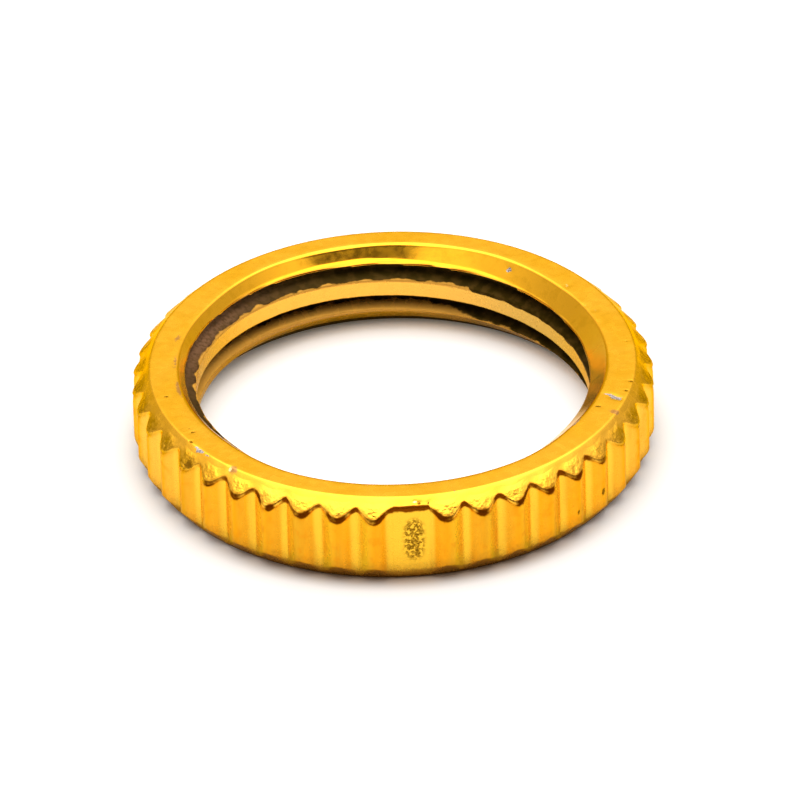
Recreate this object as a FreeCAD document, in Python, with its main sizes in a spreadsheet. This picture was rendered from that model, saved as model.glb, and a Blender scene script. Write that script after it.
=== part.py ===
"""Knurled ring nut: one turned brass ring with an M12 x 1 right-hand thread in its bore.

The ring lies on the XY plane with its axis on Z. Its origin is the centre of the bottom face.
Lengths are in millimetres and angles in degrees.
"""
import FreeCAD, Part
import math
import os
import re
import Sketcher

Vector = FreeCAD.Vector
AXIS_OF_SKETCH = -1
ORIGIN_POINT = (-1, 1)
ARC_CENTRE = 3

# Driving dimensions: alias, value, what it is.
DIMENSIONS = [
    ("ridge_radius", 7.4, "radius over the knurl ridges"),
    ("ring_height", 2.6, "height from the bottom face to the top face"),
    ("top_face_radius", 6.88, "outer edge of the flat top face"),
    ("top_chamfer_height", 0.52, "height of the chamfer above the knurl"),
    ("bottom_face_radius", 7.0, "outer edge of the flat bottom face"),
    ("bottom_chamfer_height", 0.54, "height of the chamfer below the knurl"),
    ("top_mouth_radius", 6.22, "countersink at the top face"),
    ("bottom_mouth_radius", 6.28, "countersink at the bottom face"),
    ("blank_bore_radius", 5.3, "drilled hole before the bore is reamed"),
    ("crest_radius", 5.575, "thread crests, the minor radius of M12 x 1"),
    ("root_radius", 6.0, "thread roots, the major radius of M12 x 1"),
    ("thread_pitch", 1.0, "rise of the thread in one turn"),
    ("thread_half_angle", 30.0, "slope of each thread flank"),
    ("root_flat", 0.125, "flat at the bottom of the thread groove"),
    ("thread_phase", 0.76, "height of the lowest whole groove where it crosses the XZ plane"),
    ("thread_overrun", 2.0, "length of thread that the tap cuts below the ring"),
    ("ridge_spaces", 44.0, "knurl grooves around the ring"),
    ("knurl_depth", 0.29, "depth of a knurl groove"),
    ("knurl_floor_width", 0.22, "flat at the bottom of a knurl groove"),
    ("knurl_mouth_width", 0.74, "width of a knurl groove at the ridge tips"),
    ("cutter_overrun", 0.3, "how far a cutter passes outside the ring"),
]
BORE_SECTORS = 8


def make_sheet(doc):
    """Put the driving dimensions in a spreadsheet, one row each, with an alias."""
    sheet = doc.addObject("Spreadsheet::Sheet", "Dimensions")
    for row, (alias, value, meaning) in enumerate(DIMENSIONS, start=1):
        sheet.set(f"A{row}", meaning)
        sheet.set(f"B{row}", str(value))
        sheet.setAlias(f"B{row}", alias)
    doc.recompute()
    return sheet


def sheet_terms(expression):
    """Write each <alias> in an expression as a cell of the sheet."""
    return re.sub(r"<(\w+)>", r"Dimensions.\1", expression)


def origin_feature(body, role):
    """Find one of a body's origin planes or axes by its role."""
    return next(item for item in body.Origin.OriginFeatures if item.Role == role)


def new_sketch(body, name, plane):
    """Start a sketch on one of the body's origin planes."""
    sketch = body.newObject("Sketcher::SketchObject", name)
    sketch.AttachmentSupport = [(origin_feature(body, plane), "")]
    sketch.MapMode = "FlatFace"
    return sketch


def bind_coordinate(sketch, kind, corner, value, name, expression):
    """Hold one coordinate of a corner at an expression of the sheet's cells."""
    index = sketch.addConstraint(Sketcher.Constraint(kind, corner, 1, value))
    sketch.renameConstraint(index, name)
    sketch.setExpression(f".Constraints.{name}", expression)


def draw_outline(sketch, corners):
    """Draw a closed outline of straight lines through corners given as expressions."""
    terms = [tuple(sheet_terms(term) for term in corner) for corner in corners]
    places = [tuple(float(sketch.evalExpression(term)) for term in corner) for corner in terms]
    points = [Vector(x, y, 0) for x, y in places]
    for start, end in zip(points, points[1:] + points[:1]):
        sketch.addGeometry(Part.LineSegment(start, end), False)
    for line in range(len(points)):
        following = (line + 1) % len(points)
        sketch.addConstraint(Sketcher.Constraint("Coincident", line, 2, following, 1))
    for corner, ((x, y), (x_term, y_term)) in enumerate(zip(places, terms)):
        bind_coordinate(sketch, "DistanceX", corner, x, f"across_{corner}", x_term)
        if y_term == "0":
            sketch.addConstraint(Sketcher.Constraint("PointOnObject", corner, 1, AXIS_OF_SKETCH))
        else:
            bind_coordinate(sketch, "DistanceY", corner, y, f"along_{corner}", y_term)


def draw_sectored_circle(sketch, radius_alias, sectors):
    """Draw a circle on the origin as equal arcs, so that the bore has one wall per sector."""
    radius = float(sketch.evalExpression(f"Dimensions.{radius_alias}"))
    span = 2 * math.pi / sectors
    circle = Part.Circle(Vector(0, 0, 0), Vector(0, 0, 1), radius)
    for arc in range(sectors):
        sketch.addGeometry(Part.ArcOfCircle(circle, arc * span, (arc + 1) * span), False)
    for arc in range(sectors):
        sketch.addConstraint(Sketcher.Constraint("Coincident", arc, ARC_CENTRE, *ORIGIN_POINT))
        sketch.addConstraint(Sketcher.Constraint("Coincident", arc, 2, (arc + 1) % sectors, 1))
    for arc in range(sectors - 1):
        sketch.addConstraint(Sketcher.Constraint("Angle", arc, span))
    sketch.addConstraint(Sketcher.Constraint("PointOnObject", 0, 1, AXIS_OF_SKETCH))
    index = sketch.addConstraint(Sketcher.Constraint("Radius", 0, radius))
    sketch.renameConstraint(index, "radius")
    sketch.setExpression(".Constraints.radius", f"Dimensions.{radius_alias}")


def finish_cut(doc, feature, before):
    """Recompute a cut and stop if it took nothing away."""
    doc.recompute()
    removed = before.Shape.Volume - feature.Shape.Volume
    if removed <= 0:
        raise RuntimeError(f"{feature.Name} cut nothing")
    print(f"{feature.Name} removed {removed:.3f} mm3")


def turn_blank(doc, body):
    """Turn the ring with its outer chamfers and both countersinks."""
    sketch = new_sketch(body, "BlankSection", "XZ_Plane")
    draw_outline(sketch, [
        ("<bottom_mouth_radius>", "0"),
        ("<bottom_face_radius>", "0"),
        ("<ridge_radius>", "<bottom_chamfer_height>"),
        ("<ridge_radius>", "<ring_height> - <top_chamfer_height>"),
        ("<top_face_radius>", "<ring_height>"),
        ("<top_mouth_radius>", "<ring_height>"),
        ("<blank_bore_radius>", "<ring_height> - <top_mouth_radius> + <blank_bore_radius>"),
        ("<blank_bore_radius>", "<bottom_mouth_radius> - <blank_bore_radius>"),
    ])
    blank = body.newObject("PartDesign::Revolution", "Blank")
    blank.Profile = sketch
    blank.ReferenceAxis = (sketch, ["V_Axis"])
    blank.Angle = 360
    doc.recompute()
    return blank


def cut_pocket(doc, body, sketch, name, before):
    """Cut a sketch on the XY plane right through the ring."""
    pocket = body.newObject("PartDesign::Pocket", name)
    pocket.Profile = sketch
    pocket.Type = "ThroughAll"
    pocket.Midplane = True
    pocket.Refine = False
    finish_cut(doc, pocket, before)
    return pocket


def ream_bore(doc, body, before):
    """Open the bore to the thread's minor radius."""
    sketch = new_sketch(body, "BoreCircle", "XY_Plane")
    draw_sectored_circle(sketch, "crest_radius", BORE_SECTORS)
    return cut_pocket(doc, body, sketch, "Bore", before)


def knurl(doc, body, before):
    """Cut one straight knurl groove and repeat it all round, with ridges at every space."""
    sketch = new_sketch(body, "KnurlGrooveSection", "XY_Plane")
    floor = "<ridge_radius> - <knurl_depth>"
    outside = "<ridge_radius> + <cutter_overrun>"
    spread = "(<knurl_mouth_width> - <knurl_floor_width>) / 2 * <cutter_overrun> / <knurl_depth>"
    draw_outline(sketch, [
        (floor, "-<knurl_floor_width> / 2"),
        (outside, f"-<knurl_mouth_width> / 2 - {spread}"),
        (outside, f"<knurl_mouth_width> / 2 + {spread}"),
        (floor, "<knurl_floor_width> / 2"),
    ])
    sketch.AttachmentOffset = FreeCAD.Placement(Vector(), FreeCAD.Rotation(Vector(0, 0, 1), 90))
    # The grooves lie half a space to each side of -Y, where the missing ridge would stand.
    sketch.setExpression("AttachmentOffset.Rotation.Angle", "-90 + 180 / Dimensions.ridge_spaces")
    groove = cut_pocket(doc, body, sketch, "KnurlGroove", before)
    pattern = body.newObject("PartDesign::PolarPattern", "Knurl")
    pattern.Originals = [groove]
    pattern.Axis = (origin_feature(body, "Z_Axis"), [""])
    pattern.Angle = 360
    pattern.setExpression("Occurrences", "Dimensions.ridge_spaces")
    pattern.Refine = False
    body.Tip = pattern
    finish_cut(doc, pattern, groove)
    return pattern


def remove_ridge(doc, body, before):
    """Cut away the ridge on -Y down to the floor of the grooves beside it."""
    sketch = new_sketch(body, "MissingRidgeSection", "XY_Plane")
    half_width = "<ridge_radius> * sin(180 / <ridge_spaces>)"
    floor = "<knurl_depth> - <ridge_radius>"
    outside = "-<ridge_radius> - <cutter_overrun>"
    draw_outline(sketch, [
        (f"-{half_width}", outside),
        (half_width, outside),
        (half_width, floor),
        (f"-{half_width}", floor),
    ])
    return cut_pocket(doc, body, sketch, "MissingRidge", before)


def cut_thread(doc, body, before):
    """Cut the right-hand 60 degree thread, through both countersinks."""
    sketch = new_sketch(body, "ThreadGrooveSection", "XZ_Plane")
    centre = "<thread_phase> - <thread_overrun>"
    inside = "(<crest_radius> - <cutter_overrun>)"
    half_root = "<root_flat> / 2"
    half_mouth = f"({half_root} + (<root_radius> - {inside}) * tan(<thread_half_angle>))"
    draw_outline(sketch, [
        ("<root_radius>", f"{centre} - {half_root}"),
        ("<root_radius>", f"{centre} + {half_root}"),
        (inside, f"{centre} + {half_mouth}"),
        (inside, f"{centre} - {half_mouth}"),
    ])
    thread = body.newObject("PartDesign::SubtractiveHelix", "Thread")
    thread.Profile = sketch
    thread.ReferenceAxis = (sketch, ["V_Axis"])
    thread.Mode = 0
    thread.setExpression("Pitch", "Dimensions.thread_pitch")
    thread.setExpression("Height", "Dimensions.ring_height + Dimensions.thread_overrun")
    thread.LeftHanded = False
    thread.Refine = False
    finish_cut(doc, thread, before)
    return thread


def make_ring(doc):
    """Build the whole ring as one body."""
    body = doc.addObject("PartDesign::Body", "KnurledRing")
    body.Label = "knurled_ring"
    blank = turn_blank(doc, body)
    bore = ream_bore(doc, body, blank)
    knurled = knurl(doc, body, bore)
    flattened = remove_ridge(doc, body, knurled)
    cut_thread(doc, body, flattened)
    return body


def check_document(doc, bodies):
    """Stop if any object failed or any sub-part has no sound shape."""
    for item in doc.Objects:
        if "Invalid" in item.State or "Error" in item.State:
            raise RuntimeError(f"{item.Name} failed: {item.State}")
    for body in bodies:
        if body.Shape.isNull() or not body.Shape.isValid() or len(body.Shape.Solids) != 1:
            raise RuntimeError(f"{body.Label} isn't one valid solid")


def main():
    doc = FreeCAD.newDocument("KnurledRingNut")
    make_sheet(doc)
    bodies = [make_ring(doc)]
    doc.recompute()
    check_document(doc, bodies)
    os.makedirs("parts", exist_ok=True)
    for body in bodies:
        body.Shape.exportStep(f"parts/{body.Label}.step")
        box = body.Shape.BoundBox
        print(f"{body.Label}: {box.XLength:.3f} x {box.YLength:.3f} x {box.ZLength:.3f} mm, "
              f"{body.Shape.Volume:.2f} mm3, {len(body.Shape.Faces)} faces")


main()
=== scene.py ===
"""Looks of the knurled ring nut: one worn, gold-plated brass ring on a white table.

Lengths inside the mesh code are millimetres, and MM turns them into metres. Azimuths run round
the ring from +X, and the missing ridge, at the front, is at -90 degrees.
"""
import math
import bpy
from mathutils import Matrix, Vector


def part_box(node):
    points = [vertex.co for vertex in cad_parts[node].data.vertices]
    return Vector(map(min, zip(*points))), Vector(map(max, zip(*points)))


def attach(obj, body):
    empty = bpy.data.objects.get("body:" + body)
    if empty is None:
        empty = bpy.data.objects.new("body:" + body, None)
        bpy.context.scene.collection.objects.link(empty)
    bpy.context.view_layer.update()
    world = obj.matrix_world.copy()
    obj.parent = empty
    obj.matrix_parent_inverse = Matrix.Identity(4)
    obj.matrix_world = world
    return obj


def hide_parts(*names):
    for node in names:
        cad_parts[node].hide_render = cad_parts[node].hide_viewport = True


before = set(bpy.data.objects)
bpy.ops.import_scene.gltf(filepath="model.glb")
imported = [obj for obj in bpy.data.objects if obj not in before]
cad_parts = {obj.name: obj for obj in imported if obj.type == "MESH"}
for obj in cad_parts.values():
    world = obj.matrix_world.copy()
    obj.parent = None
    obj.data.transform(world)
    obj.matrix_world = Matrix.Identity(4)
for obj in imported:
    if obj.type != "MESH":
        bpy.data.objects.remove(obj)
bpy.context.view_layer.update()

from types import SimpleNamespace

import bpy
import numpy as np
from mathutils import Matrix, Vector

MM = 0.001
NODE = "knurled_ring"
LOW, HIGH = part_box(NODE)
HEIGHT = (HIGH.z - LOW.z) / MM
RIDGE_RADIUS = (HIGH.x - LOW.x) / 2 / MM

# Section of the ring
TOP_FACE_RADIUS = RIDGE_RADIUS - 0.52
TOP_MOUTH_RADIUS = RIDGE_RADIUS - 1.18
BOTTOM_FACE_RADIUS = RIDGE_RADIUS - 0.40
BOTTOM_CHAMFER_SLOPE = 0.54 / 0.40
BOTTOM_MOUTH_RADIUS = RIDGE_RADIUS - 1.12
CHAMFER_LINE = TOP_FACE_RADIUS + HEIGHT
SIDES_NARROWER = 0.14
TOP_EDGE_ROUNDING = 0.10
MOUTH_ROUNDING = 0.15

# Burr where the top chamfer meets the knurl: its rounding, and how far the wall is tucked in below
BURR_ROLL = 0.16
BURR_TUCK = 0.022
BURR_HEIGHT = 0.32

# Foot: the rounded corner over the bottom chamfer, and the brown band above it, grime and painted
# shade darker towards the bottom
CORNER_REACH = 0.045
LOWEST_CORNER = 0.09
DARK_BAND_HEIGHT = 0.55
DARK_BAND_HAZE = 0.45
HAZE_SHARE = 0.42

# Thread, M12 x 1
PITCH = 1.0
CREST_RADIUS = 5.575
ROOT_RADIUS = 6.0
ROOT_FLAT = 0.125
FLANK_SLOPE = math.tan(math.radians(22))
THREAD_PHASE = 0.76

# Knurl
RIDGES = 44
KNURL_DEPTH = 0.29
LAND_HALF = 0.145
FLANK_WIDTH = 0.30
KNURL_SOFTNESS = 0.40
UNEVENNESS = 0.012
MISSING_RIDGE = math.radians(-90)

# Mesh density
COLUMNS_PER_RIDGE = 24
BORE_ROWS = 76
JOIN_RADIUS = TOP_MOUTH_RADIUS + 0.34

# The photograph's camera
CAMERA_DISTANCE = 40 * RIDGE_RADIUS * MM
CAMERA_ELEVATION = math.radians(33.32)
CAMERA_AZIMUTH = math.radians(-93.15)
CAMERA_ROLL = math.radians(-1.51)
AIM_RIGHT = 0.153 * MM
AIM_UP = 1.088 * MM
VIEW_WIDTH = 22.73 * MM

# Brightness of the studio at each height above the horizon, in degrees
STUDIO = [
    (0, 0.66), (3, 0.62), (22, 0.64), (27, 0.78), (31, 0.92), (36, 1.05), (42, 1.35),
    (47, 1.7), (51, 2.3), (55, 2.8), (63, 3.0), (90, 3.2),
]
BRIGHTEST = 3.5
# The photographer stands in front as a dark patch
PATCH_AZIMUTH = math.radians(-84)
PATCH_DARKNESS = 0.90

# Table: radii, or places along Y, between which each change happens. Inside the ring the paper is
# painted brighter and glows a little, as painted light, and round the front it carries a painted
# shadow
TABLE_HALF = 5.0
UNDER_RING = (6.4 * MM, 6.7 * MM)
GLOW_EDGE = (5.8 * MM, 6.7 * MM)
PAINTED_SHADOW_EDGE = (6.9 * MM, 7.8 * MM)
PAINTED_SHADOW_TO_BACK = (-7 * MM, -4 * MM)
PAPER_INSIDE, PAPER_OUTSIDE = 0.85, 0.77
GLOW_STRENGTH = 0.13
GLOW_COLOR = (1, 0.90, 0.75)
PAINTED_SHADOW_COLOR = (0.28, 0.18, 0.10)

# Gold of the plain parts, as linear red, green and blue
FACE_GOLD = ((0.99, 0.485, 0.042), (0.95, 0.455, 0.030))
SINK_GOLD = (0.98, 0.455, 0.020)
SINK_KHAKI = (0.74, 0.40, 0.022)
SINK_BLOTCH = (0.72, 0.34, 0.010)
LEDGE_GOLD = (0.66, 0.24, 0.018)
BORE_GOLD = (0.84, 0.41, 0.055)
BORE_KHAKI = (0.62, 0.36, 0.070)
# Painted shade, darker towards the bottom of the bore, and painted light on its bottom countersink
BORE_LOW_PAINTED_SHADE = (0.36, 0.17, 0.032)
BORE_RIM_PAINTED_LIGHT = (0.72, 0.40, 0.09)
SHADED_GOLD = (0.28, 0.13, 0.025)
DUST_COLOR = (0.56, 0.27, 0.04)
# Gold of the knurl, at the front and at both sides: painted light and shade, with lit and shaded
# copies of the gold for land, flank, valley and away-facing flank, paler at the sides
KNURL_GOLD_PAINTED_LIGHT = {
    "land": ((0.82, 0.335, 0.008), (0.86, 0.44, 0.060)),
    "flank": ((0.92, 0.37, 0.009), (0.90, 0.50, 0.065)),
    "valley": ((0.94, 0.52, 0.034), (0.90, 0.50, 0.065)),
    "away": ((0.92, 0.52, 0.018), (0.92, 0.62, 0.080)),
}
STREAK_COLOR = (0.66, 0.33, 0.020)
SPOT_COLOR = (0.80, 0.28, 0.006)
# Foot band: some grime, and painted shade for the table's shadow mirrored in the foot
FOOT_GRIME_AND_SHADE_COLOR = (0.24, 0.095, 0.010)
# Painted shade: the chamfer's teeth darker at the sides
SIDE_TOOTH_PAINTED_SHADE = (0.50, 0.24, 0.006)

# Colours of the wear and the soil, with painted shade under the burr and in the thread, and painted
# highlights
SCUFF_COLOR = (0.42, 0.19, 0.09)
BURR_GRIME_AND_SHADE_COLOR = (0.22, 0.050, 0.001)
BURR_TIP_GRIME_AND_SHADE_COLOR = (0.12, 0.024, 0.0)
BURR_SIDE_GRIME_AND_SHADE_COLOR = (0.16, 0.060, 0.003)
SOIL_AND_SHADE_COLORS = ((0.028, 0.016, 0.002), (0.060, 0.032, 0.006))
MAUVE_SOIL_PAINTED_LIGHT = (0.19, 0.095, 0.048)
PATCH_COLOR = (0.16, 0.07, 0.002)
PIT_COLOR = (0.16, 0.07, 0.004)
CHIP_COLORS = ((0.24, 0.18, 0.15), (0.56, 0.50, 0.47))
# Painted highlight on small nicks
PAINTED_GLINT_COLOR = (0.98, 0.76, 0.30)
SPECULAR_TINT = (1.0, 0.72, 0.18)

# Wear, and painted highlights on small nicks: kind, surface, azimuth in degrees, radius or height,
# half length round the ring, half width across it, slant in degrees, depth
WEAR = [
    ("chip", "sink", 52.4, 6.02, 0.08, 0.10, 0, 0.01),
    ("chip", "top", -22.1, 6.60, 0.10, 0.22, 12, 0.02),
    ("chip", "top", -21.2, 6.36, 0.05, 0.12, 0, 0.01),
    ("chip", "top", -37.0, 6.11, 0.34, 0.02, 0, 0),
    ("chip", "top", -142.6, 6.93, 0.10, 0.05, 0, 0.01),
    ("chip", "top", -145.4, 6.92, 0.22, 0.07, 0, 0.015),
    ("painted_glint", "sink", 22.6, 6.16, 0.10, 0.07, 0, 0.02),
    ("painted_glint", "top", 33.5, 6.24, 0.10, 0.08, 0, 0.02),
    ("painted_glint", "top", 26.5, 6.21, 0.16, 0.05, 0, 0.02),
    ("painted_glint", "top", 19.6, 6.22, 0.10, 0.07, 0, 0.02),
    ("painted_glint", "top", -134.8, 6.97, 0.10, 0.10, 0, 0.03),
    ("painted_glint", "chamfer", -86.8, 7.02, 0.05, 0.025, 0, 0.01),
    ("painted_glint", "chamfer", -88.9, 6.99, 0.07, 0.025, 0, 0.01),
    ("scuff", "sink", 157.2, 6.13, 0.28, 0.07, 0, 0),
    ("scuff", "sink", 176.0, 6.02, 0.60, 0.10, 0, 0),
    ("scuff", "sink", 190.0, 5.98, 0.90, 0.12, 0, 0),
    ("scuff", "sink", 203.0, 6.02, 0.50, 0.07, 0, 0),
    ("scuff", "top", 12.5, 6.20, 0.30, 0.06, 0, 0),
    ("scuff", "top", 2.0, 6.19, 0.35, 0.05, 0, 0),
    ("scuff", "top", 163.0, 6.24, 0.22, 0.09, 0, 0.01),
    ("scuff", "top", 174.0, 6.19, 0.45, 0.08, 0, 0.01),
    ("scuff", "top", 187.0, 6.17, 0.60, 0.08, 0, 0.01),
    ("scuff", "top", -28.0, 6.84, 0.12, 0.16, 0, 0),
    ("scuff", "top", -79.4, 6.84, 0.04, 0.04, 0, 0),
    ("scuff", "top", -134.0, 6.93, 0.20, 0.15, 0, 0),
    ("pit", "top", 3.5, 6.66, 0.04, 0.04, 0, 0.01),
    ("pit", "top", 1.5, 6.35, 0.03, 0.03, 0, 0.01),
    ("pit", "top", -3.5, 6.40, 0.03, 0.03, 0, 0.01),
    ("pit", "top", -8.5, 6.52, 0.06, 0.03, 20, 0.01),
    ("pit", "top", -14.3, 6.84, 0.04, 0.09, 0, 0.01),
    ("pit", "top", -18.5, 6.80, 0.04, 0.06, 0, 0.01),
    ("pit", "top", -24.0, 6.24, 0.06, 0.03, 0, 0.01),
    ("pit", "top", -27.2, 6.28, 0.05, 0.04, 0, 0.01),
    ("pit", "top", -31.2, 6.76, 0.06, 0.04, 0, 0.01),
    ("pit", "top", -139.0, 6.62, 0.03, 0.03, 0, 0.01),
    ("pit", "top", -149.3, 6.86, 0.07, 0.04, 0, 0.01),
    ("pit", "top", -152.5, 6.56, 0.04, 0.03, 0, 0.01),
    ("pit", "top", -154.3, 6.53, 0.05, 0.04, 0, 0.01),
    ("pit", "top", -155.5, 6.72, 0.05, 0.03, 0, 0.01),
    ("pit", "top", -161.0, 6.59, 0.05, 0.03, 0, 0.01),
    ("pit", "top", -170.0, 6.56, 0.03, 0.03, 0, 0.01),
    ("pit", "chamfer", -85.6, 7.04, 0.06, 0.03, 0, 0.02),
    ("pit", "chamfer", -88.0, 7.03, 0.05, 0.03, 0, 0.02),
    ("pit", "chamfer", -146.0, 7.27, 0.16, 0.13, 0, 0.03),
    ("pit", "chamfer", -162.7, 7.15, 0.05, 0.05, 0, 0.02),
    ("pit", "wall", -41.1, 1.04, 0.07, 0.13, 0, 0.03),
    ("pit", "wall", -44.5, 1.60, 0.03, 0.04, 0, 0.01),
    ("pit", "wall", -49.4, 0.88, 0.05, 0.07, 0, 0.02),
    ("pit", "wall", -50.6, 1.10, 0.10, 0.06, 0, 0.02),
]
# The grazed patch on the flat where a ridge is missing: azimuth and half width in degrees, then
# the height of its middle, its half height and the radius outside which it lies
GRAZED_PATCH = (-89.3, 2.3, 1.32, 0.68, 6.95)


def smooth_ramp(t, softness):
    """Rise from 0 to 1 as t goes from 0 to 1, with rounded ends."""
    return 0.5 * (1 + np.sqrt(t * t + softness**2) - np.sqrt((t - 1) ** 2 + softness**2))


def smooth_max(a, b, blend):
    """The larger of two values, rounded where they cross."""
    return 0.5 * (a + b + np.sqrt((a - b) ** 2 + blend**2))


def smooth_step(t):
    """Rise from 0 to 1 as t goes from 0 to 1, and stay there on both sides."""
    t = np.clip(t, 0, 1)
    return t * t * (3 - 2 * t)


def hump(theta, degrees, width):
    """A smooth bump of height 1 centred at an azimuth."""
    apart = (theta - math.radians(degrees) + math.pi) % (2 * math.pi) - math.pi
    return np.exp(-((apart / math.radians(width)) ** 2))


def wander(theta, seed, slow, fast):
    """A smooth random wave round the ring, roughly between -1 and 1."""
    rng = np.random.default_rng(seed)
    wave = np.zeros_like(theta)
    for turns in range(slow, fast + 1):
        wave += rng.normal() * np.cos(turns * theta + rng.uniform(0, 2 * math.pi))
    return wave / (1.4 * math.sqrt(fast - slow + 1))


def from_front(theta):
    """Degrees round the ring from the missing ridge, positive towards +X."""
    return np.degrees((theta - MISSING_RIDGE + math.pi) % (2 * math.pi) - math.pi)


def azimuth_degrees(theta):
    """Azimuth in degrees, from -90 at the missing ridge round to 270."""
    return (np.degrees(theta) + 90) % 360 - 90


def facing_back(theta):
    """1 where a ridge's side faces away from the missing ridge, 0 where it faces towards it."""
    across = np.sin((theta - MISSING_RIDGE) * RIDGES)
    return smooth_step(0.5 + 3 * across * np.sign(from_front(theta)))


def knurl_fraction(theta):
    """How far the knurl is cut at each azimuth: 0 on a ridge's land, 1 on a groove's floor."""
    rng = np.random.default_rng(11)
    wider = rng.normal(0, UNEVENNESS, RIDGES)
    moved = rng.normal(0, UNEVENNESS, RIDGES)
    spaces = (theta - MISSING_RIDGE) / (2 * math.pi) * RIDGES
    ridge = np.round(spaces).astype(int)
    across = (spaces - ridge) * 2 * math.pi * RIDGE_RADIUS / RIDGES
    across = np.abs(across - moved[ridge % RIDGES])
    cut = smooth_ramp((across - LAND_HALF - wider[ridge % RIDGES]) / FLANK_WIDTH, KNURL_SOFTNESS)
    cut[ridge % RIDGES == 0] = 1.0
    return np.clip(cut, 0, 1)


def groove_offset(theta, z):
    """Height above the centre of the nearest thread groove."""
    groove = THREAD_PHASE + PITCH * theta / (2 * math.pi)
    return (z - groove + PITCH / 2) % PITCH - PITCH / 2


def mouth_radius(theta):
    """Radius of the top countersink's mouth: a little smaller at both sides than at the back."""
    from_side = np.degrees(np.arcsin(np.abs(np.sin(theta))))
    return TOP_MOUTH_RADIUS - SIDES_NARROWER * smooth_step((62 - from_side) / 30)


def countersink_radius(theta, z):
    """Radius of the top countersink: steep at first, with a flatter lip at its foot."""
    groove = THREAD_PHASE + PITCH * (1 + azimuth_degrees(theta) / 360)
    depth = np.clip((HEIGHT - groove + 0.03) / (1 + FLANK_SLOPE), 0.26, 0.60)
    sunk = (HEIGHT - z) / depth
    bend = 0.88 - 0.08 * hump(theta, 98, 16) + 0.07 * hump(theta, 35, 30)
    bend = bend + 0.02 * wander(theta, 22, 3, 30)
    rise, fall = sunk / bend, (1 - sunk) / (1 - bend)
    soft = 0.012 + 0.07 * hump(theta, 42, 28)
    shape = 0.5 * (rise + fall - np.sqrt((rise - fall) ** 2 + soft))
    hollow = (0.18 + 0.018 * wander(theta, 21, 8, 40)) * depth
    hollow = hollow * smooth_step((np.abs(from_front(theta)) - 80) / 35)
    return mouth_radius(theta) - (HEIGHT - z) + hollow * np.maximum(shape, 0)


def bore_radius(theta, z):
    """Radius of the hole at an azimuth and height: the thread and both countersinks."""
    depth = (np.abs(groove_offset(theta, z)) - ROOT_FLAT / 2) / FLANK_SLOPE
    flank = ROOT_RADIUS - 0.5 * (depth + np.sqrt(depth**2 + 0.03**2))
    radius = smooth_max(flank, np.full_like(flank, CREST_RADIUS), 0.012)
    radius = smooth_max(radius, countersink_radius(theta, z), 0.012)
    return smooth_max(radius, BOTTOM_MOUTH_RADIUS - z, 0.02)


class Rings:
    """Rows of points round the axis, with weights for the material."""

    WEIGHTS = (
        "land", "valley", "flank", "away", "lip", "tooth", "dirt_and_shade", "dust", "shaded", "mauve_painted_light",
        "khaki", "bore", "low", "rim", "sink", "ledge", "side", "foot",
    )

    def __init__(self, theta):
        self.theta = theta
        self.side = smooth_step((np.abs(from_front(theta)) - 38) / 52)
        self.radii = []
        self.heights = []
        self.weights = {name: [] for name in self.WEIGHTS}

    def add(self, radius, z, **weights):
        full = np.ones_like(self.theta)
        self.radii.append(full * radius)
        self.heights.append(full * z)
        weights["side"] = self.side
        weights["away"] = weights.get("flank", 0) * facing_back(self.theta)
        for name in self.WEIGHTS:
            self.weights[name].append(full * weights.get(name, 0.0))

    def count(self):
        return len(self.radii)

    def arrays(self):
        radii = np.stack(self.radii)
        theta = np.broadcast_to(self.theta, radii.shape)
        return theta, radii, np.stack(self.heights)


def outside_shape(theta):
    """What the rows of the chamfer, the burr, the wall and the foot share at each azimuth."""
    cut = knurl_fraction(theta)
    wall = RIDGE_RADIUS - KNURL_DEPTH * cut
    roll = BURR_ROLL - 0.045 * cut + 0.022 * wander(theta, 4, 20, 90)
    # Strength of the dark line of grime and painted shade under the burr: thinner on the flanks,
    # fading towards the sides
    burr = 0.90 - 1.3 * cut * (1 - cut) + 0.3 * wander(theta, 5, 30, 140)
    burr = burr + 0.35 * hump(theta, -90, 4)
    burr = burr * (1 - 0.75 * smooth_step((np.abs(from_front(theta)) - 40) / 25))
    corner = (wall - BOTTOM_FACE_RADIUS) * BOTTOM_CHAMFER_SLOPE
    corner = corner + 0.018 * wander(theta, 31, 50, 160)
    stripes = {
        "land": smooth_step(1 - 1.6 * cut),
        "valley": smooth_step((cut - 0.55) / 0.25),
        "flank": 4 * cut * (1 - cut),
    }
    return SimpleNamespace(
        cut=cut,
        tip=1 - cut,
        wall=wall,
        roll=roll,
        roll_r=wall - roll,
        roll_z=CHAMFER_LINE - math.sqrt(2) * roll - (wall - roll),
        burr=burr,
        corner=np.maximum(corner, LOWEST_CORNER),
        # Top of the foot band of grime and painted shade
        dark_band=DARK_BAND_HEIGHT - 0.22 * cut + 0.012 * wander(theta, 32, 8, 90),
        stripes=stripes,
    )


def add_top_edge(rings, edge):
    """The outer half of the top face and its rounded rim."""
    for t in (0, 0.4, 0.75):
        rings.add(JOIN_RADIUS + t * (TOP_FACE_RADIUS - JOIN_RADIUS), HEIGHT)
    for lean in (90, 75, 60, 45):
        a = math.radians(lean)
        radius = TOP_FACE_RADIUS + edge * (math.cos(a) - math.sqrt(2) + 1)
        rings.add(radius, HEIGHT - edge * (1 - math.sin(a)))


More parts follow.
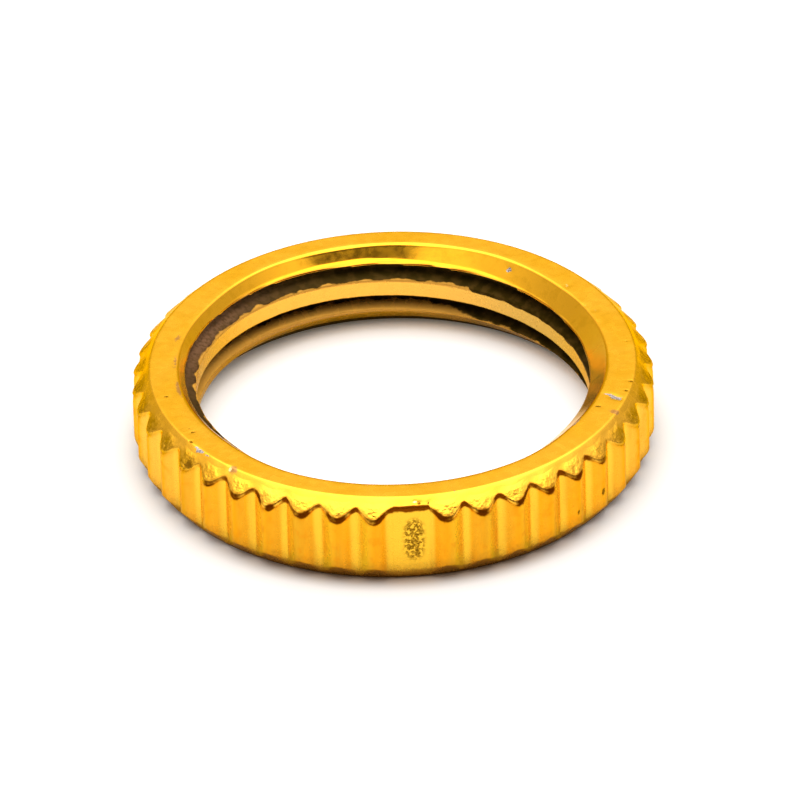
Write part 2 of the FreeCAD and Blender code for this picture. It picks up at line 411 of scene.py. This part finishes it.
def add_chamfer(rings, shape, edge):
    """The cone between the rounded rim and the burr."""
    rounded = edge * (1 - math.sqrt(0.5))
    start_r, start_z = TOP_FACE_RADIUS + rounded, HEIGHT - rounded
    end_r = shape.roll_r + shape.roll * math.sqrt(0.5)
    end_z = shape.roll_z + shape.roll * math.sqrt(0.5)
    # lip: the dark line of grime and painted shade under the burr starts here
    for t, lip in ((0.25, 0), (0.5, 0), (0.75, 0.12), (0.92, 0.5)):
        radius = start_r + t * (end_r - start_r)
        tooth = shape.tip * smooth_step((radius - TOP_FACE_RADIUS - 0.10) / 0.16)
        rings.add(radius, start_z + t * (end_z - start_z), tooth=tooth, lip=lip)


def add_burr(rings, shape):
    """The rolled edge of the chamfer and the tucked-in wall just below it."""
    # lip: the dark line of grime and painted shade on the rolled edge and under it
    for lean, lip in ((45, 0.75), (36, 1), (27, 1), (18, 1), (9, 1), (0, 1)):
        a = math.radians(lean)
        radius = shape.roll_r + shape.roll * math.cos(a)
        z = shape.roll_z + shape.roll * math.sin(a)
        rings.add(radius, z, tooth=shape.tip, lip=lip * shape.burr)
    tuck = BURR_TUCK * (1 - 0.5 * shape.cut)
    rows = ((0.03, 0.5, 0.85), (0.07, 1, 0.55), (0.13, 0.6, 0.2), (0.22, 0.15, 0), (BURR_HEIGHT, 0, 0))
    for down, share, lip in rows:
        under = lip * shape.burr * (1 + 0.5 * shape.tip)
        radius = shape.wall - share * tuck
        rings.add(radius, shape.roll_z - down, lip=under, tooth=shape.tip * lip, **shape.stripes)


def add_wall(rings, shape):
    """The knurled wall and the rounded corner at its foot."""
    high, low = shape.roll_z - BURR_HEIGHT, shape.corner + CORNER_REACH
    for t in (0.12, 0.24, 0.36, 0.48, 0.60, 0.70, 0.78, 0.85, 0.91, 0.96, 1.0):
        z = high + t * (low - high)
        # foot: the brown band of grime and painted shade, darker towards the bottom
        haze = HAZE_SHARE * smooth_step((shape.dark_band + DARK_BAND_HAZE - z) / DARK_BAND_HAZE)
        foot = haze + (1 - HAZE_SHARE) * smooth_step((shape.dark_band - z) / 0.10)
        rings.add(shape.wall, z, foot=foot, **shape.stripes)
    for inset, down in ((0.004, -0.014), (0.013, 0.014), (0.031, CORNER_REACH)):
        foot = HAZE_SHARE + (1 - HAZE_SHARE) * smooth_step((shape.dark_band - shape.corner + down) / 0.10)
        rings.add(shape.wall - inset, shape.corner - down, foot=foot, **shape.stripes)


def add_foot(rings, shape):
    """The bottom chamfer and the flat underside."""
    last_r, last_z = shape.wall - 0.031, shape.corner - CORNER_REACH
    foot_r = np.minimum(BOTTOM_FACE_RADIUS + 0.022, shape.wall - 0.035)
    # The bottom chamfer lies wholly in the foot band of grime and painted shade
    for t in (0.35, 0.7, 1.0):
        land = shape.stripes["land"] * (1 - t)
        rings.add(last_r + t * (foot_r - last_r), last_z + t * (0.035 - last_z), land=land, foot=1)
    flat_r = foot_r - 0.05
    rings.add(foot_r - 0.016, 0.010, foot=1)
    rings.add(flat_r, 0.0, foot=0.9)
    for t in (0.3, 0.6, 0.85):
        rings.add(flat_r + t * (BOTTOM_MOUTH_RADIUS - flat_r), 0.0)
    rings.add(BOTTOM_MOUTH_RADIUS + 0.03, 0.0)


def outer_rings(theta):
    """The outer half of the top face, the chamfer, the knurled wall and the underside."""
    rings = Rings(theta)
    shape = outside_shape(theta)
    edge = TOP_EDGE_ROUNDING + 0.02 * wander(theta, 3, 2, 14)
    add_top_edge(rings, edge)
    add_chamfer(rings, shape, edge)
    add_burr(rings, shape)
    add_wall(rings, shape)
    add_foot(rings, shape)
    return rings


def thread_weights(theta, z, edge_noise):
    """Soil and painted shade, dust, tones, and painted light of the threaded part of the bore at one
    height.
    """
    degrees = azimuth_degrees(theta)
    # Painted shade on the right: the soil spreads further there, and the bottom countersink loses its
    # painted light
    to_the_right = smooth_step((63.5 - degrees) / 1.5)
    right_side = smooth_step((78 - degrees) / 20) * smooth_step((degrees + 80) / 40)
    above = groove_offset(theta, z)
    turn = (z - above - THREAD_PHASE) / PITCH
    upper = smooth_step((turn - 0.78) / 0.2)
    right = upper * to_the_right + 1.3 * (1 - upper) * right_side
    spread = 0.10 + 0.125 * upper + 0.10 * right + edge_noise
    below_edge = 0.5 + (above + spread) * (5 + 3 * upper)
    above_edge = 0.5 + (0.25 - above) * 9
    dirt_and_shade = np.clip(np.minimum(below_edge, above_edge), 0, 1)
    dust = smooth_step((-above - 0.03) / 0.18) * smooth_step((above + 0.32) / 0.06)
    rim = smooth_step((BOTTOM_MOUTH_RADIUS - CREST_RADIUS - z) / 0.05)
    return {
        # Soil in the grooves, partly painted shade; its lighter part at the left is painted light
        "dirt_and_shade": dirt_and_shade,
        "dust": np.maximum(dust, 0.8 * smooth_step((0.25 - z) / 0.2)),
        "mauve_painted_light": hump(theta, 156, 27) * upper * dirt_and_shade,
        "khaki": hump(theta, 38, 30) + 0.7 * hump(theta, 163, 20),
        # Painted shade darker towards the bottom, then painted light on the bottom countersink, less
        # on the right
        "low": smooth_step((0.95 - z - 0.25 * np.cos(theta)) / 0.1),
        "rim": rim * (1 - 0.85 * right_side),
        "bore": 1,
    }


def countersink_weights(theta, z, radius):
    """How much of the top countersink is here at one height, and how flat it is."""
    sink = smooth_step(1 - (radius - countersink_radius(theta, z)) / 0.015) * (z > HEIGHT / 2)
    reach = 0.01
    rise = countersink_radius(theta, z + reach) - countersink_radius(theta, z - reach)
    ledge = sink * smooth_step((rise / (2 * reach) - 1.2) / 0.8)
    khaki = sink * (1 - smooth_step((np.abs(from_front(theta)) - 85) / 35))
    return sink, ledge, khaki


def add_mouth(rings, theta, rounding):
    """The rounded mouth of the top countersink and the inner half of the top face."""
    mouth = mouth_radius(theta)
    for lean in (56, 67, 79, 90):
        a = math.radians(lean)
        radius = mouth + rounding * (math.sqrt(2) - 1 - math.cos(a))
        rings.add(radius, HEIGHT - rounding * (1 - math.sin(a)), sink=(90 - lean) / 45, ledge=0.5)
    first = mouth + rounding * (math.sqrt(2) - 1)
    for t in (0.35, 0.7):
        rings.add(first + t * (JOIN_RADIUS - first), HEIGHT)


def bore_rings(theta):
    """The hole from the underside up, then the inner half of the top face."""
    rings = Rings(theta)
    rounding = MOUTH_ROUNDING + 0.03 * wander(theta, 6, 3, 18) + 0.02 * hump(theta, 90, 40)
    top = HEIGHT - rounding * (1 - math.sqrt(0.5))
    edge_noise = 0.025 * wander(theta, 7, 9, 60)
    shaded = hump(theta, -22, 14) + hump(theta, 200, 14)
    for row in range(BORE_ROWS + 1):
        z = top * row / BORE_ROWS
        radius = bore_radius(theta, z)
        sink, ledge, sink_khaki = countersink_weights(theta, z, radius)
        weights = thread_weights(theta, z, edge_noise)
        for name in ("dirt_and_shade", "dust", "mauve_painted_light", "khaki", "bore"):
            weights[name] = weights[name] * (1 - sink)
        weights["khaki"] = weights["khaki"] + sink_khaki
        rings.add(radius, z, shaded=shaded, sink=sink, ledge=ledge, **weights)
    add_mouth(rings, theta, rounding)
    return rings


# Which way a dent goes on each surface, out and up
DENT_WAY = {"top": (0, -1), "chamfer": (-0.7, -0.7), "wall": (-1, 0), "sink": (0.7, -0.7)}


def mark_place(surface, position, theta):
    """Radius and height of a mark's centre on one of the surfaces."""
    if surface == "top":
        return position, HEIGHT
    if surface == "chamfer":
        return position, CHAMFER_LINE - position
    if surface == "sink":
        return position, HEIGHT - (TOP_MOUTH_RADIUS - position)
    wall = RIDGE_RADIUS - KNURL_DEPTH * knurl_fraction(np.array([theta]))[0]
    return wall, position


def wear_marks(theta, radii, heights):
    """Weights of the chips, pits, scuffs and painted highlights on small nicks, and the dents they
    leave.
    """
    marks = {kind: np.zeros_like(radii) for kind in ("chip", "pit", "scuff", "painted_glint")}
    dent_r, dent_z = np.zeros_like(radii), np.zeros_like(radii)
    for kind, surface, azimuth, position, along, across, slant, depth in WEAR:
        centre = math.radians(azimuth)
        r0, z0 = mark_place(surface, position, centre)
        x = ((theta - centre + math.pi) % (2 * math.pi) - math.pi) * r0
        y = np.copysign(np.hypot(radii - r0, heights - z0), (radii - r0) - (heights - z0))
        c, s = math.cos(math.radians(slant)), math.sin(math.radians(slant))
        weight = np.exp(-(((c * x + s * y) / along) ** 2 + ((c * y - s * x) / across) ** 2))
        weight[weight < 0.02] = 0
        marks[kind] = np.maximum(marks[kind], weight)
        out_r, out_z = DENT_WAY[surface]
        dent_r += depth * weight * out_r
        dent_z += depth * weight * out_z
    azimuth, half_width, middle, half_height, outside = GRAZED_PATCH
    tall = np.exp(-(((heights - middle) / half_height) ** 4))
    marks["patch"] = hump(theta, azimuth, half_width) * tall * (radii > outside)
    return marks, dent_r, dent_z


def ring_faces(outer, bore):
    """Faces between the rows, and the two seams between the fine outside and the coarser bore."""
    columns = RIDGES * COLUMNS_PER_RIDGE
    half = columns // 2
    faces = []
    for row in range(outer.count() - 1):
        a = row * columns + np.arange(columns)
        b = row * columns + (np.arange(columns) + 1) % columns
        faces += list(zip(a + columns, b + columns, b, a))
    base = outer.count() * columns
    for row in range(bore.count() - 1):
        a = base + row * half + np.arange(half)
        b = base + row * half + (np.arange(half) + 1) % half
        faces += list(zip(a, a + half, b + half, b))
    bottom = (outer.count() - 1) * columns
    top_inner = base + (bore.count() - 1) * half
    for k in range(half):
        o0, o1, o2 = 2 * k, 2 * k + 1, (2 * k + 2) % columns
        i0, i1 = k, (k + 1) % half
        faces.append((bottom + o0, base + i0, base + i1, bottom + o2, bottom + o1))
        faces.append((o0, o1, o2, top_inner + i1, top_inner + i0))
    return [tuple(int(corner) for corner in face) for face in faces]


def ring_mesh():
    columns = RIDGES * COLUMNS_PER_RIDGE
    theta = MISSING_RIDGE + np.arange(columns) * 2 * math.pi / columns
    outer, bore = outer_rings(theta), bore_rings(theta[::2])
    points, weights = [], {}
    for rings in (outer, bore):
        angle, radii, heights = rings.arrays()
        marks, dent_r, dent_z = wear_marks(angle, radii, heights)
        radii, heights = radii + dent_r, heights + dent_z
        place = np.stack([radii * np.cos(angle), radii * np.sin(angle), heights], 2)
        points.append(place.reshape(-1, 3))
        named = {name: np.stack(rows) for name, rows in rings.weights.items()}
        named.update(marks)
        for name, values in named.items():
            weights.setdefault(name, []).append(values.ravel())

    mesh = bpy.data.meshes.new("gold_ring")
    mesh.from_pydata((np.concatenate(points) * MM).tolist(), [], ring_faces(outer, bore))
    mesh.validate()
    mesh.polygons.foreach_set("use_smooth", [True] * len(mesh.polygons))
    for name, parts in weights.items():
        layer = mesh.attributes.new(name, "FLOAT", "POINT")
        layer.data.foreach_set("value", np.concatenate(parts).astype(np.float32))
    mesh.update()
    return mesh


class Nodes:
    """Short ways to add shader nodes."""

    def __init__(self, tree):
        self.tree = tree

    def add(self, kind, **settings):
        node = self.tree.nodes.new(kind)
        for name, value in settings.items():
            setattr(node, name, value)
        return node

    def set(self, socket, value):
        """Link a socket to another one, or give it a value; a colour gets its alpha here."""
        if isinstance(value, bpy.types.NodeSocket):
            self.tree.links.new(value, socket)
        elif isinstance(value, tuple):
            socket.default_value = value + (1,)
        else:
            socket.default_value = value

    def weight(self, name):
        return self.add("ShaderNodeAttribute", attribute_name=name).outputs["Fac"]

    def math(self, operation, a, b, clamp=False):
        node = self.add("ShaderNodeMath", operation=operation, use_clamp=clamp)
        self.set(node.inputs[0], a)
        self.set(node.inputs[1], b)
        return node.outputs[0]

    def times(self, first, *others):
        for other in others:
            first = self.math("MULTIPLY", first, other)
        return first

    def plus(self, a, b):
        return self.math("ADD", a, b)

    def minus(self, a, b, clamp=False):
        return self.math("SUBTRACT", a, b, clamp)

    def noise(self, scale, detail, stretch=(1, 1, 1)):
        where = self.add("ShaderNodeTexCoord").outputs["Object"]
        mapping = self.add("ShaderNodeMapping")
        self.set(mapping.inputs["Vector"], where)
        mapping.inputs["Scale"].default_value = stretch
        node = self.add("ShaderNodeTexNoise")
        self.set(node.inputs["Vector"], mapping.outputs[0])
        node.inputs["Scale"].default_value = scale
        node.inputs["Detail"].default_value = detail
        return node.outputs["Fac"]

    def step(self, value, low, high, to_low=0.0, to_high=1.0):
        node = self.add("ShaderNodeMapRange", interpolation_type="SMOOTHSTEP")
        self.set(node.inputs["Value"], value)
        node.inputs["From Min"].default_value = low
        node.inputs["From Max"].default_value = high
        node.inputs["To Min"].default_value = to_low
        node.inputs["To Max"].default_value = to_high
        return node.outputs["Result"]

    def mix(self, factor, a, b):
        node = self.add("ShaderNodeMix", data_type="RGBA", blend_type="MIX")
        self.set(node.inputs[0], factor)
        self.set(node.inputs[6], a)
        self.set(node.inputs[7], b)
        return node.outputs[2]

    def ragged(self, weight, noise, reach, low, high):
        """A patch whose edge wanders with a noise."""
        shift = self.times(self.minus(noise, 0.5), reach)
        return self.step(self.plus(weight, shift), low, high)


def shared_noises(n):
    """Noise at four sizes, for the gold's colour, finish and relief."""
    return SimpleNamespace(
        broad=n.noise(700, 3),
        mottle=n.noise(3500, 2),
        grain=n.noise(9000, 3),
        fine=n.noise(24000, 2),
    )


def inside_color(n, noises, color):
    """Adds the gold of the top countersink and the bore to that of the faces, with painted shade low
    in the bore and painted light on its bottom countersink.
    """
    khaki = n.weight("khaki")
    sink = n.mix(n.times(khaki, 0.6), SINK_GOLD, SINK_KHAKI)
    sink = n.mix(n.step(noises.mottle, 0.50, 0.70, 0.0, 0.35), sink, SINK_BLOTCH)
    sink = n.mix(n.times(n.weight("ledge"), 0.8), sink, LEDGE_GOLD)
    color = n.mix(n.weight("sink"), color, sink)
    bore = n.mix(khaki, BORE_GOLD, BORE_KHAKI)
    # Painted shade low in the bore, then painted light on its bottom countersink
    bore = n.mix(n.weight("low"), bore, BORE_LOW_PAINTED_SHADE)
    bore = n.mix(n.weight("rim"), bore, BORE_RIM_PAINTED_LIGHT)
    color = n.mix(n.weight("bore"), color, bore)
    color = n.mix(n.times(n.weight("shaded"), 0.7), color, SHADED_GOLD)
    return n.mix(n.weight("dust"), color, DUST_COLOR)


def outside_color(n, noises, foot, color):
    """Adds the gold of the knurl with painted light and shade, its streaks and spots, the foot band of
    grime and painted shade, and the teeth painted darker at the sides as painted shade.
    """
    side = n.weight("side")
    # Painted light and shade: each part of the knurl gets its own copy of the gold, paler towards the
    # sides
    for part, (front_gold, side_gold) in KNURL_GOLD_PAINTED_LIGHT.items():
        color = n.mix(n.weight(part), color, n.mix(side, front_gold, side_gold))
    streaks = n.step(n.noise(2600, 3, stretch=(1, 1, 0.15)), 0.50, 0.66)
    streaks = n.times(streaks, n.math("MAXIMUM", n.weight("land"), n.weight("flank")))
    color = n.mix(n.times(streaks, 0.45), color, STREAK_COLOR)
    spots = n.times(n.step(noises.mottle, 0.52, 0.72), n.weight("land"))
    color = n.mix(n.times(spots, 0.5), color, SPOT_COLOR)
    color = n.mix(foot, color, FOOT_GRIME_AND_SHADE_COLOR)
    # Painted shade: the chamfer's teeth darker towards the sides, mottled
    outlying = n.step(side, 0.02, 0.35)
    teeth = n.times(n.weight("tooth"), outlying, n.step(noises.grain, 0.35, 0.6, 0.6, 1.0))
    return n.mix(teeth, color, SIDE_TOOTH_PAINTED_SHADE)


def wear_masks(n, noises):
    """Where each kind of wear, soil, painted shade and painted highlight shows, with ragged edges."""
    grain, fine = noises.grain, noises.fine
    patch = n.times(n.step(n.noise(9000, 5), 0.44, 0.52), n.step(n.weight("patch"), 0.15, 0.6))
    return SimpleNamespace(
        lip=n.ragged(n.weight("lip"), grain, 0.45, 0.30, 0.80),
        dirt_and_shade=n.ragged(n.weight("dirt_and_shade"), n.noise(5200, 4), 0.5, 0.40, 0.60),
        foot=n.times(n.ragged(n.weight("foot"), grain, 0.35, 0.1, 1.0), 0.85),
        patch=patch,
        pit=n.ragged(n.weight("pit"), fine, 0.7, 0.35, 0.6),
        chip=n.ragged(n.weight("chip"), grain, 0.9, 0.4, 0.5),
        scuff=n.ragged(n.weight("scuff"), grain, 0.9, 0.35, 0.75),
        painted_glint=n.ragged(n.weight("painted_glint"), grain, 0.8, 0.4, 0.6),
    )


def worn_color(n, noises, wear, color):
    """Adds scuffs, the dark line of grime and painted shade under the burr, soil and painted shade in
    the thread, the grazed patch, pits, chips and painted highlights on small nicks.
    """
    color = n.mix(n.times(wear.scuff, 0.7), color, SCUFF_COLOR)
    # The dark line under the burr: grime and painted shade, browner towards the sides
    burr = n.mix(n.weight("tooth"), BURR_GRIME_AND_SHADE_COLOR, BURR_TIP_GRIME_AND_SHADE_COLOR)
    color = n.mix(wear.lip, color, n.mix(n.weight("side"), burr, BURR_SIDE_GRIME_AND_SHADE_COLOR))
    # Soil in the thread, partly painted shade; the lighter part at the left is painted light
    soil = n.mix(n.step(noises.mottle, 0.4, 0.65), *SOIL_AND_SHADE_COLORS)
    mauve_painted_light = n.times(n.weight("mauve_painted_light"), n.step(noises.grain, 0.35, 0.6, 0.5, 1.0))
    color = n.mix(wear.dirt_and_shade, color, n.mix(mauve_painted_light, soil, MAUVE_SOIL_PAINTED_LIGHT))
    grazed = n.times(wear.patch, n.step(noises.fine, 0.35, 0.6, 0.55, 0.95))
    color = n.mix(grazed, color, PATCH_COLOR)
    color = n.mix(n.times(wear.pit, 0.85), color, PIT_COLOR)
    color = n.mix(wear.chip, color, n.mix(n.step(noises.fine, 0.4, 0.6), *CHIP_COLORS))
    # Painted highlights on small nicks
    return n.mix(wear.painted_glint, color, PAINTED_GLINT_COLOR)


def matt_share(n, wear):
    """How much of the surface is powdery rather than bare metal."""
    khaki = n.weight("khaki")
    powder = n.times(n.weight("dust"), n.minus(0.85, n.times(wear.dirt_and_shade, 0.6)))
    matt = n.plus(n.times(n.weight("away"), 0.6), powder)
    matt = n.plus(matt, n.times(khaki, n.weight("sink"), 0.35))
    matt = n.plus(matt, n.times(khaki, n.weight("bore"), 0.4))
    return n.plus(matt, n.times(wear.foot, 0.45))


def roughness(n, noises, wear):
    dull = n.math("MAXIMUM", n.math("MAXIMUM", wear.lip, wear.dirt_and_shade), n.times(wear.pit, 0.6))
    rough = n.step(noises.mottle, 0.3, 0.7, 0.20, 0.30)
    rough = n.plus(rough, n.times(n.weight("land"), 0.10))
    rough = n.minus(rough, n.times(n.weight("sink"), 0.10))
    rough = n.plus(rough, n.times(dull, 0.30))
    return n.plus(rough, n.times(wear.chip, 0.20))


def relief(n, noises, wear):
    """Height of the surface's fine bumps and pits, in millimetres."""
    hills = n.times(noises.broad, n.minus(0.016, n.times(n.weight("sink"), 0.010)))
    hills = n.plus(hills, n.times(noises.mottle, 0.0020))
    rough_spots = n.plus(n.weight("tooth"), n.times(n.weight("land"), 0.35))
    hills = n.plus(hills, n.times(noises.grain, rough_spots, 0.024))
    hills = n.plus(hills, n.times(noises.mottle, n.weight("tooth"), 0.045))
    pits = n.plus(wear.pit, n.times(wear.patch, 0.3))
    return n.minus(hills, n.times(pits, 0.02))


def gold_material():
    material = bpy.data.materials.new("worn_gold_plate")
    material.use_nodes = True
    n = Nodes(material.node_tree)
    shader = material.node_tree.nodes["Principled BSDF"]
    noises = shared_noises(n)
    wear = wear_masks(n, noises)

    color = n.mix(n.step(noises.broad, 0.3, 0.7), *FACE_GOLD)
    color = inside_color(n, noises, color)
    color = outside_color(n, noises, wear.foot, color)
    n.set(shader.inputs["Base Color"], worn_color(n, noises, wear, color))
    matt = matt_share(n, wear)
    n.set(shader.inputs["Metallic"], n.minus(1.0, matt, clamp=True))
    n.set(shader.inputs["Specular IOR Level"], n.minus(0.5, matt, clamp=True))
    n.set(shader.inputs["Specular Tint"], SPECULAR_TINT)
    n.set(shader.inputs["Roughness"], roughness(n, noises, wear))
    bump = n.add("ShaderNodeBump")
    bump.inputs["Strength"].default_value = 1.0
    bump.inputs["Distance"].default_value = MM
    n.set(bump.inputs["Height"], relief(n, noises, wear))
    n.set(shader.inputs["Normal"], bump.outputs[0])
    return material


def direction_at(azimuth, elevation):
    """Unit vector that points to an azimuth and elevation."""
    flat = math.cos(elevation)
    return Vector((flat * math.cos(azimuth), flat * math.sin(azimuth), math.sin(elevation)))


def add_camera():
    data = bpy.data.cameras.new("camera")
    camera = bpy.data.objects.new("camera", data)
    bpy.context.scene.collection.objects.link(camera)
    back = direction_at(CAMERA_AZIMUTH, CAMERA_ELEVATION)
    level = Vector((0, 0, 1)).cross(back).normalized()
    upright = back.cross(level)
    right = math.cos(CAMERA_ROLL) * level + math.sin(CAMERA_ROLL) * upright
    up = back.cross(right)
    camera.matrix_world = Matrix((right, up, back)).transposed().to_4x4()
    camera.location = back * CAMERA_DISTANCE + AIM_RIGHT * right + AIM_UP * up
    data.sensor_width = 36
    data.lens = data.sensor_width * CAMERA_DISTANCE / VIEW_WIDTH
    data.clip_start = 0.01
    data.clip_end = 10
    bpy.context.scene.camera = camera


def paper_material():
    """White paper, painted brighter and glowing a little inside the ring as painted light, with a
    painted shadow of the ring along the front.
    """
    material = bpy.data.materials.new("white_table")
    material.use_nodes = True
    shader = material.node_tree.nodes["Principled BSDF"]
    n = Nodes(material.node_tree)
    where = n.add("ShaderNodeTexCoord").outputs["Object"]
    length = n.add("ShaderNodeVectorMath", operation="LENGTH")
    n.set(length.inputs[0], where)
    distance = length.outputs["Value"]
    split = n.add("ShaderNodeSeparateXYZ")
    n.set(split.inputs[0], where)
    # Painted light: the paper is brighter inside the ring
    shade = n.step(distance, *UNDER_RING, PAPER_INSIDE, PAPER_OUTSIDE)
    paper = n.add("ShaderNodeCombineColor")
    for channel in range(3):
        n.set(paper.inputs[channel], shade)
    # Painted shadow round the front of the ring, weaker towards the back
    dark_band = n.times(n.step(distance, *PAINTED_SHADOW_EDGE, 1.0, 0.0), n.step(distance, *UNDER_RING))
    dark_band = n.times(dark_band, n.step(split.outputs["Y"], *PAINTED_SHADOW_TO_BACK, 1.0, 0.2))
    n.set(shader.inputs["Base Color"], n.mix(dark_band, paper.outputs[0], PAINTED_SHADOW_COLOR))
    # Painted light: the paper glows a little inside the ring
    n.set(shader.inputs["Emission Color"], GLOW_COLOR)
    n.set(shader.inputs["Emission Strength"], n.step(distance, *GLOW_EDGE, GLOW_STRENGTH, 0.0))
    shader.inputs["Roughness"].default_value = 0.7
    shader.inputs["Specular IOR Level"].default_value = 0.2
    return material


def add_table():
    mesh = bpy.data.meshes.new("table")
    s = TABLE_HALF
    mesh.from_pydata([(-s, -s, 0), (s, -s, 0), (s, s, 0), (-s, s, 0)], [], [(0, 1, 2, 3)])
    table = bpy.data.objects.new("table", mesh)
    bpy.context.scene.collection.objects.link(table)
    mesh.materials.append(paper_material())


def add_light():
    world = bpy.data.worlds.new("studio")
    bpy.context.scene.world = world
    world.use_nodes = True
    n = Nodes(world.node_tree)
    direction = n.add("ShaderNodeTexCoord").outputs["Generated"]
    parts = n.add("ShaderNodeSeparateXYZ")
    n.set(parts.inputs[0], direction)
    height = parts.outputs["Z"]
    ramp = n.add("ShaderNodeValToRGB")
    n.set(ramp.inputs[0], height)
    elements = ramp.color_ramp.elements
    while len(elements) < len(STUDIO):
        elements.new(0.5)
    for element, (degrees, level) in zip(elements, STUDIO):
        element.position = math.sin(math.radians(degrees))
        element.color = (level / BRIGHTEST,) * 3 + (1,)
    toward = n.add("ShaderNodeVectorMath", operation="DOT_PRODUCT")
    n.set(toward.inputs[0], direction)
    toward.inputs[1].default_value = direction_at(PATCH_AZIMUTH, 0)
    front = n.step(toward.outputs["Value"], 0.58, 0.70)
    low = n.step(height, 0.70, 0.80, 1.0, 0.0)
    shade = n.minus(1.0, n.times(front, low, PATCH_DARKNESS))
    background = world.node_tree.nodes["Background"]
    n.set(background.inputs["Color"], ramp.outputs["Color"])
    n.set(background.inputs["Strength"], n.times(shade, BRIGHTEST))


ring = bpy.data.objects.new("gold_ring", ring_mesh())
bpy.context.scene.collection.objects.link(ring)
ring.data.materials.append(gold_material())
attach(ring, "root")
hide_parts(NODE)
add_table()
add_light()
add_camera()
bpy.context.scene.view_settings.view_transform = "Standard"
